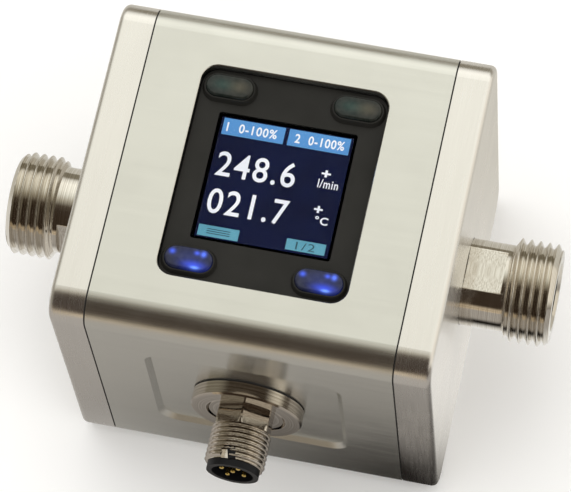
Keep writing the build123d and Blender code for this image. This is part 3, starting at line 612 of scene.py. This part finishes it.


# Keys: smoked clear slugs. Their light is a sum of soft spots round each key's middle: on the lit
# keys the blue backlight, on the clear keys painted light, a faint teal and brown glow with nothing
# lit behind it.
keyLight = {
    # painted light: teal and brown glow on a key with no light behind it
    "clearPaintedGlow": {
        "base": (colour(0.006, 0.009, 0.008), colour(0.02, 0.021, 0.018)),
        "spots": [
            ((-1.4, 0.1, 0), (2.0, 1.2, 9), colour(0.01, 0.035, 0.028)),
            ((1.9, 0.1, 0), (1.8, 1.2, 9), colour(0.06, 0.05, 0.03)),
        ],
        "glow": 1.0,
    },
    "lit": {
        "base": (colour(0.006, 0.007, 0.012), colour(0.02, 0.022, 0.034)),
        "spots": [
            ((-3.3, 0.9, 0), (0.55, 0.5, 9), colour(0.06, 0.13, 0.95)),
            ((1.5, 1.25, 0), (0.5, 0.4, 9), colour(0.05, 0.11, 0.9)),
            ((2.8, 1.2, 0), (0.5, 0.55, 9), colour(0.12, 0.24, 1.3)),
            ((1.3, -1.3, 0), (2.0, 0.75, 9), colour(0.02, 0.06, 0.75)),
            ((1.6, -1.75, 0), (0.8, 0.3, 9), colour(0.2, 0.4, 1.1)),
            ((0.5, 0.2, 0), (3.6, 1.8, 9), colour(0.012, 0.02, 0.11)),
        ],
        "glow": 1.0,
    },
}


def keyFinish(name, centre, spec):
    material, tree, surface = newFinish(name)
    scale = 1 / mm
    where = objectVector(tree, (scale,) * 3, tuple(-scale * item for item in centre))
    grain = useEffect(tree, "mouldGrain", {"Vector": objectVector(tree), "Size": 900.0})
    base = mixColour(tree, rescale(tree, grain["Grain"], *noiseSpan, 0, 1), *spec["base"])
    tree.links.new(base, surface.inputs["Base Color"])
    light = colour(0, 0, 0)
    # glowing spots: backlight on the lit keys, painted light on the clear keys
    for place, spread, shade in spec["spots"]:
        glow = useEffect(tree, "softSpot", {"Vector": where, "Centre": place, "Spread": spread})
        patch = mixColour(tree, glow["Glow"], colour(0, 0, 0), shade)
        light = mixColour(tree, 1.0, light, patch, "ADD")
    tree.links.new(light, surface.inputs["Emission Color"])
    tree.links.new(rescale(tree, grain["Tone"], *noiseSpan, 0.1, 0.2), surface.inputs["Roughness"])
    bump(tree, surface, grain["Tone"], 0.25, 0.0004)
    setValues(surface, glow=spec["glow"], specular=0.25, coat=0.12, coatRough=0.06)
    return material


# Screen: every colour shines through the same grid of picture cells.
screenCell = {"pitch": 0.11, "dim": 0.86}
screenColours = {
    "screenNight": ((0.0045, 0.006, 0.024), (0.0065, 0.01, 0.042)),
    "screenWhite": ((0.86, 0.88, 0.92), (1.0, 1.0, 1.0)),
    "screenBlue": ((0.095, 0.285, 0.6), (0.12, 0.34, 0.68)),
    "screenTeal": ((0.11, 0.33, 0.42), (0.14, 0.39, 0.49)),
    "screenInk": ((0.03, 0.08, 0.1), (0.05, 0.11, 0.13)),
}


def makeCellGrid():
    # 1 inside a picture cell, falling to Dim on the lines between cells
    group, given, made = newEffect(
        "cellGrid",
        [("Vector", "Vector", None), ("Dim", "Float", 0.86)],
        [("Mask", "Float")],
    )
    parts = addNode(group, "ShaderNodeSeparateXYZ", {0: given[0]}).outputs
    edges = [combine(group, "PINGPONG", parts[i], 0.5) for i in (0, 1)]
    nearest = combine(group, "MINIMUM", *edges)
    lit = rescale(group, nearest, 0.04, 0.12, 0, 1)
    kept = addNode(group, "ShaderNodeMix", {0: lit, 2: given[1], 3: 1.0})
    group.links.new(kept.outputs[0], made["Mask"])
    return group


effects["cellGrid"] = makeCellGrid()


def screenFinish(name, shades):
    material, tree, surface = newFinish(name)
    scale = 1 / (screenCell["pitch"] * mm)
    mask = useEffect(
        tree, "cellGrid",
        {"Vector": objectVector(tree, (scale, scale, 1)), "Dim": screenCell["dim"]},
    )
    tone = addNode(tree, "ShaderNodeTexNoise", {"Vector": objectVector(tree), "Scale": 120.0})
    shade = mixColour(
        tree, rescale(tree, tone.outputs[0], *noiseSpan, 0, 1), colour(*shades[0]),
        colour(*shades[1]),
    )
    lit = mixColour(tree, mask["Mask"], colour(0, 0, 0), shade)
    tree.links.new(lit, surface.inputs["Emission Color"])
    setValues(surface, base=colour(0.004, 0.004, 0.005), rough=0.3, specular=0.0, glow=1.0)
    return material


finishes = {
    "sleeve_steel": brushedSteel("sleeveSteel", brushed["sleeve"]),
    "cap_steel": brushedSteel("capSteel", brushed["cap"]),
    "fitting_steel": turnedSteel("fittingSteel", turned["fitting"]),
    "connector_steel": turnedSteel("connectorSteel", turned["plug"]),
    "screw_steel": plainMetal("screwSteel", metals["screwSteel"]),
    "electrode_steel": plainMetal("electrodeSteel", metals["electrodeSteel"]),
    "magnet_iron": plainMetal("magnetIron", metals["magnetIron"]),
    "coil_copper": plainMetal("coilCopper", metals["coilCopper"]),
    "contact_gold": plainMetal("contactGold", metals["contactGold"]),
    "seal_rubber": mouldedPlastic("sealRubber", moulded["sealRubber"]),
    "tube_plastic": mouldedPlastic("tubePlastic", moulded["tubePlastic"]),
    "bobbin_plastic": mouldedPlastic("bobbinPlastic", moulded["bobbinPlastic"]),
    "board_laminate": mouldedPlastic("boardLaminate", moulded["boardLaminate"]),
    "component_black": mouldedPlastic("componentBlack", moulded["componentBlack"]),
    "lamp_plastic": mouldedPlastic("lampPlastic", moulded["lampPlastic"]),
    "front_plastic": mouldedPlastic("frontPlastic", moulded["frontPlastic"]),
    "connector_plastic": mouldedPlastic("connectorPlastic", moulded["connectorPlastic"]),
    "lead_film": mouldedPlastic("leadFilm", moulded["leadFilm"]),
    "pane_glass": clearPane(),
    "screen": screenFinish("screenNight", screenColours["screenNight"]),
}


def dressNode(name, material):
    mesh = nodes[name].data
    mesh.materials.clear()
    mesh.materials.append(material)


def dressFrame():
    for entry in frame["record"]["subparts"]:
        name, slot = entry["node"], entry["material_slot"]
        if slot in ("key_clear", "key_lit"):
            low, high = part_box(name)
            kind = "lit" if slot == "key_lit" else "clearPaintedGlow"
            dressNode(name, keyFinish(name + "Finish", (low + high) / 2, keyLight[kind]))
        else:
            dressNode(name, finishes[slot])


dressFrame()
print("finishes made and set on the frame")


# meshes worked out on grids
def finishPiece(name, mesh, material):
    mesh.materials.append(material)
    item = bpy.data.objects.new(name, mesh)
    bpy.context.scene.collection.objects.link(item)
    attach(item, "root")
    return item


def gridMesh(name, points, sharp=0.6):
    # quads between neighbouring rows and columns of points; both directions close on themselves
    rows, columns = points.shape[:2]
    index = np.arange(rows * columns).reshape(rows, columns)
    index = np.pad(index, ((0, 1), (0, 1)), mode="wrap")
    corners = [index[:-1, :-1], index[1:, :-1], index[1:, 1:], index[:-1, 1:]]
    quads = np.stack(corners, axis=-1).reshape(-1, 4)
    flat = points.reshape(-1, 3)
    a, b, c, d = (flat[quads[:, i]] for i in range(4))
    volume = np.einsum("ij,ij->", a, np.cross(b, c)) + np.einsum("ij,ij->", a, np.cross(c, d))
    if volume < 0:
        quads = quads[:, ::-1]
    mesh = bpy.data.meshes.new(name)
    mesh.vertices.add(len(flat))
    mesh.vertices.foreach_set("co", flat.astype(np.float32).ravel())
    mesh.loops.add(quads.size)
    mesh.loops.foreach_set("vertex_index", quads.astype(np.int32).ravel())
    mesh.polygons.add(len(quads))
    mesh.polygons.foreach_set("loop_start", np.arange(0, quads.size, 4, dtype=np.int32))
    mesh.update(calc_edges=True)
    mesh.shade_smooth()
    mesh.set_sharp_from_angle(angle=sharp)
    return mesh


def divide(corners, steps):
    # a polyline with more points: between each two corners, equal steps no longer than given
    corners = np.array(corners, float)
    lengths = np.linalg.norm(np.diff(corners, axis=0), axis=1)
    counts = np.maximum(1, np.ceil(lengths / steps)).astype(int)
    pieces = [np.linspace(a, b, n, endpoint=False) for a, b, n in zip(
        corners[:-1], corners[1:], counts,
    )]
    return np.concatenate(pieces)


def threadHeight(turns, sharpness):
    # 1 on the crest and 0 in the root of one turn: a cut-off triangle wave, rounded a little
    wave = 1 - 2 * np.abs(turns - np.floor(turns) - 0.5)
    height = np.clip(0.5 + sharpness * (wave - 0.5), 0, 1)
    return 0.4 * height + 0.6 * height**2 * (3 - 2 * height)


# Process fittings: a profile turned round the flow axis, cut back by the helical thread and
# by two wrench flats.
fitting = {
    "sides": 192, "steps": (2.5, 0.075), "insideX": 27.3, "flangeLength": 5.0,
    "flangeRadius": 13.0, "edge": 0.2, "boreEnd": 5.0, "boreRadius": 6.5, "coneLength": 6.0,
    "boreChamfer": 0.6, "neckRadius": 8.75, "neckEnd": 46.0, "root": 0.12, "runIn": 1.0,
    "crestRadius": 10.4775, "rootRadius": 9.32, "pitch": 1.814, "sharpness": 1.1,
    "phase": {"outlet": -0.37, "inlet": 0.0}, "endX": 55.5, "endChamfer": 1.2, "lip": 0.05,
    "turn": {"outlet": 90.0, "inlet": 164.0}, "flatHalf": 7.5, "flatStart": 35.4,
    "flatEnd": 45.1, "flatFade": 0.15,
}


def makeFitting(end, side):
    s = fitting
    coarse, fine = s["steps"]
    edge, lip = s["edge"], s["lip"]
    insideEnd = s["insideX"] + s["flangeLength"]
    inside = [
        (s["insideX"] + s["coneLength"], s["boreRadius"]),
        (s["insideX"], s["boreEnd"]), (s["insideX"], s["flangeRadius"] - edge),
        (s["insideX"] + edge, s["flangeRadius"]), (insideEnd - edge, s["flangeRadius"]),
        (insideEnd, s["flangeRadius"] - edge), (insideEnd, s["neckRadius"]),
        (s["flatStart"], s["neckRadius"]), (s["flatStart"] + 2 * nudge, s["neckRadius"]),
        (s["flatEnd"] - s["flatFade"], s["neckRadius"]),
        (s["flatEnd"], s["neckRadius"]), (s["neckEnd"] - s["root"], s["neckRadius"]),
    ]
    threaded = [
        (s["neckEnd"] - s["root"], s["neckRadius"]),
        (s["neckEnd"] + 3 * nudge, s["neckRadius"] + lip),
        (s["neckEnd"] + s["runIn"], s["crestRadius"]),
        (s["endX"] - s["endChamfer"], s["crestRadius"]),
        (s["endX"] - lip, s["crestRadius"] - s["endChamfer"] + lip),
    ]
    mouth = [
        (s["endX"] - lip, s["crestRadius"] - s["endChamfer"] + lip),
        (s["endX"], s["crestRadius"] - s["endChamfer"] - lip),
        (s["endX"], s["boreRadius"] + s["boreChamfer"]),
        (s["endX"] - s["boreChamfer"], s["boreRadius"]),
        (s["insideX"] + s["coneLength"], s["boreRadius"]),
    ]
    profile = [divide(inside, coarse), divide(threaded, fine), divide(mouth, coarse)]
    profile = np.concatenate(profile)
    x, radius = profile[:, :1], profile[:, 1:]
    halfFlat = np.arccos(s["flatHalf"] / s["neckRadius"])
    flats = np.radians(s["turn"][end]) + np.array([0, np.pi])
    angle = np.linspace(0, 2 * np.pi, s["sides"], endpoint=False)
    angle = np.concatenate([angle, flats - halfFlat, flats + halfFlat]) % (2 * np.pi)
    angle = np.unique(angle.round(6))[None, :]
    # thread: the crest line moves one pitch along for each turn, the same hand at both ends
    turns = side * x / s["pitch"] - angle / (2 * np.pi) + s["phase"][end]
    depth = s["crestRadius"] - s["rootRadius"]
    cut = s["rootRadius"] + depth * threadHeight(turns, s["sharpness"])
    outside = (x > s["neckEnd"] - 0.2) & (radius > s["neckRadius"] - nudge)
    radius = np.where(outside, np.minimum(radius, np.maximum(cut, s["neckRadius"])), radius)
    # flats: the radius stops at the distance of the nearer of two planes
    plane = s["flatHalf"] / np.maximum(np.abs(np.cos(angle - flats[0])), 0.1)
    flatted = (x > s["flatStart"] + nudge) & (x < s["flatEnd"] - nudge) & (radius > s["flatHalf"])
    radius = np.where(flatted, np.minimum(radius, plane), radius)
    x = np.broadcast_to(x, radius.shape)
    points = np.stack([side * x, radius * np.cos(angle), radius * np.sin(angle)], axis=-1) * mm
    points[..., 2] += axisZ
    item = finishPiece(
        end + "FittingBody", gridMesh(end + "FittingBody", points), finishes["fitting_steel"],
    )
    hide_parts(end + "_fitting")


makeFitting("outlet", 1)
makeFitting("inlet", -1)
print("process fittings made")

# Connector shell: turned round the plug axis, with its hexagon, fine thread and coding slot.
shell = {
    "sides": 180, "steps": (1.5, 0.045), "bore": 4.8, "stem": 6.5, "seat": 35.2, "disc": 7.6,
    "discFace": 36.0, "hexHalf": 5.25, "hexCorner": 5.97, "hexEnd": 39.6, "crest": 6.0,
    "root": 5.39, "pitch": 1.0, "phase": 0.0, "sharpness": 1.3, "chamfer": 0.5, "end": 47.2,
    "slotAngle": -15.0, "slotHalf": 0.85, "slotLength": 2.1, "slotEdge": 0.002, "edge": 0.12,
}


def makeShell():
    s = shell
    e = s["edge"]
    back = -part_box("connector_shell")[1].y / mm
    slotStart = s["end"] - s["slotLength"]
    coarse, fine = s["steps"]
    body = [
        (back, s["bore"]), (back, s["stem"]), (s["seat"], s["stem"]), (s["seat"], s["disc"] - e),
        (s["seat"] + e, s["disc"]), (s["discFace"] - e, s["disc"]),
        (s["discFace"], s["disc"] - e), (s["discFace"], s["hexCorner"]),
        (s["hexEnd"] - e, s["hexCorner"]), (s["hexEnd"], s["hexCorner"] - e),
    ]
    threaded = [
        (s["hexEnd"], s["hexCorner"] - e), (s["hexEnd"] + s["chamfer"], s["crest"]),
        (slotStart, s["crest"]), (slotStart + 2 * nudge, s["crest"]),
        (s["end"] - s["chamfer"], s["crest"]), (s["end"], s["crest"] - s["chamfer"]),
    ]
    mouth = [(s["end"], s["crest"] - s["chamfer"]), (s["end"], s["bore"]), (back, s["bore"])]
    profile = [divide(body, coarse), divide(threaded, fine), divide(mouth, coarse)]
    profile = np.concatenate(profile)
    out, radius = profile[:, :1], profile[:, 1:]
    full = 2 * np.pi
    corner = np.arccos(s["hexHalf"] / s["hexCorner"])
    middles = np.radians(30 + 60 * np.arange(6))
    slot = np.radians(s["slotAngle"])
    half = np.arcsin(s["slotHalf"] / (s["crest"] - s["chamfer"]))
    slotSides = np.array([-half - s["slotEdge"], -half, half, half + s["slotEdge"]])
    angle = np.linspace(0, full, s["sides"], endpoint=False)
    extra = [middles - corner, middles + corner, slot + slotSides]
    angle = np.unique((np.concatenate([angle, *extra]) % full).round(6))[None, :]
    # thread: one pitch per turn round the axis that points out of the plug
    turns = out / s["pitch"] + angle / full + s["phase"]
    cut = s["root"] + (s["crest"] - s["root"]) * threadHeight(turns, s["sharpness"])
    onThread = (out > s["hexEnd"] + nudge) & (radius > s["bore"] + nudge)
    radius = np.where(onThread, np.minimum(radius, cut), radius)
    # hexagon: distance to the nearest of six planes, its corners turned off
    spoke = np.abs(angle % np.radians(60) - np.radians(30))
    plane = s["hexHalf"] / np.cos(spoke)
    outer = radius > s["bore"] + nudge
    onHex = (out > s["discFace"] - nudge) & (out < s["hexEnd"] + nudge)
    onHex = onHex & outer & (radius < s["disc"] - 2 * e)
    radius = np.where(onHex, np.minimum(radius, plane), radius)
    # slot: the wall drops to the bore over a narrow arc at the mouth
    turn = np.abs((angle - slot + np.pi) % full - np.pi)
    outer = radius > s["bore"] + nudge
    inSlot = (turn < half + s["slotEdge"] / 2) & (out > slotStart + nudge) & outer
    radius = np.where(inSlot, s["bore"] + 2 * nudge, radius)
    out = np.broadcast_to(out, radius.shape)
    points = np.stack([radius * np.sin(angle), -out, radius * np.cos(angle)], axis=-1) * mm
    points[..., 2] += axisZ
    item = finishPiece(
        "connectorShellBody", gridMesh("connectorShellBody", points), finishes["connector_steel"],
    )
    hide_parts("connector_shell")


makeShell()
print("connector shell made")


# what the screen shows
screen = {
    "lift": 0.012, "thickness": 0.008, "spacing": 1.12,
    "tabs": [((-12.6, 9.05), (-0.35, 12.55)), ((0.45, 9.05), (12.6, 12.55))],
    "softKeys": [((-12.6, -12.5), (-4.6, -10.2)), ((4.7, -12.3), (12.4, -10.0))],
    "words": [
        ("248.6", (-12.0, 0.3), (3.6, 5.55), 0.008, "screenWhite"),
        ("021.7", (-12.1, -7.65), (3.7, -2.35), 0.008, "screenWhite"),
        ("+", (8.4, 3.75), (10.2, 5.25), 0.03, "screenWhite"),
        ("l/min", (8.1, 1.45), (12.1, 3.3), 0.012, "screenWhite"),
        ("+", (8.5, -3.8), (10.2, -2.35), 0.03, "screenWhite"),
        ("°C", (9.1, -6.15), (11.7, -4.45), 0.02, "screenWhite"),
        ("1  0-100%", (-11.8, 9.8), (-1.8, 11.75), 0.02, "screenWhite"),
        ("2  0-100%", (1.8, 9.8), (11.6, 11.75), 0.02, "screenWhite"),
        ("1/2", (6.6, -12.0), (10.4, -10.4), 0.0, "screenInk"),
    ],
}
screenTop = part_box("display_module")[1].z
litShades = {key: shades for key, shades in screenColours.items() if key != "screenNight"}
screenFinishes = {key: screenFinish(key, shades) for key, shades in litShades.items()}


def makeSlab(name, low, high, material, layer):
    # a thin block over a rectangle, a few hundredths of a millimetre above the screen's glass
    bottom = screenTop + screen["lift"] * mm * layer
    x, y = [low[0], high[0]], [low[1], high[1]]
    corners = np.array([(x[i], y[j]) for j in (0, 1) for i in (0, 1)]) * mm
    top = bottom + screen["thickness"] * mm
    layers = [np.column_stack([corners, np.full(4, level)]) for level in (bottom, top)]
    points = np.concatenate(layers)
    faces = [(0, 2, 3, 1), (4, 5, 7, 6), (0, 1, 5, 4), (1, 3, 7, 5), (3, 2, 6, 7), (2, 0, 4, 6)]
    mesh = bpy.data.meshes.new(name)
    mesh.from_pydata(points.tolist(), [], faces)
    return finishPiece(name, mesh, material)


def makeWords(name, words, low, high, weight, material, layer):
    # figures set as a curve, made a mesh, then stretched to the rectangle they fill
    curve = bpy.data.curves.new(name + "Curve", "FONT")
    curve.body = words
    curve.offset = weight
    curve.space_character = screen["spacing"]
    curve.extrude = 0.5
    curve.resolution_u = 4
    carrier = bpy.data.objects.new(name + "Carrier", curve)
    bpy.context.scene.collection.objects.link(carrier)
    graph = bpy.context.evaluated_depsgraph_get()
    mesh = bpy.data.meshes.new_from_object(carrier.evaluated_get(graph))
    bpy.data.objects.remove(carrier)
    points = np.empty(len(mesh.vertices) * 3, np.float32)
    mesh.vertices.foreach_get("co", points)
    points = points.reshape(-1, 3).astype(float)
    start, size = points.min(0), np.ptp(points, axis=0)
    bottom = screenTop + screen["lift"] * mm * layer
    lowest = np.array([low[0] * mm, low[1] * mm, bottom])
    extent = np.array([(high[0] - low[0]) * mm, (high[1] - low[1]) * mm, screen["thickness"] * mm])
    points = lowest + (points - start) / size * extent
    mesh.vertices.foreach_set("co", points.astype(np.float32).ravel())
    mesh.materials.clear()
    mesh.update()
    return finishPiece(name, mesh, material)


def makeScreen():
    for i, (low, high) in enumerate(screen["tabs"]):
        makeSlab(f"screenTab{i + 1}", low, high, screenFinishes["screenBlue"], 1)
    for i, (low, high) in enumerate(screen["softKeys"]):
        makeSlab(f"screenSoftKey{i + 1}", low, high, screenFinishes["screenTeal"], 1)
    for i, level in enumerate((-10.9, -11.35, -11.8)):
        makeSlab(
            f"screenMenuLine{i + 1}", (-10.9, level - 0.09), (-6.3, level + 0.09),
            screenFinishes["screenInk"], 2,
        )
    for i, (words, low, high, weight, shade) in enumerate(screen["words"]):
        makeWords(f"screenFigures{i + 1}", words, low, high, weight, screenFinishes[shade], 2)


makeScreen()
print("screen made")
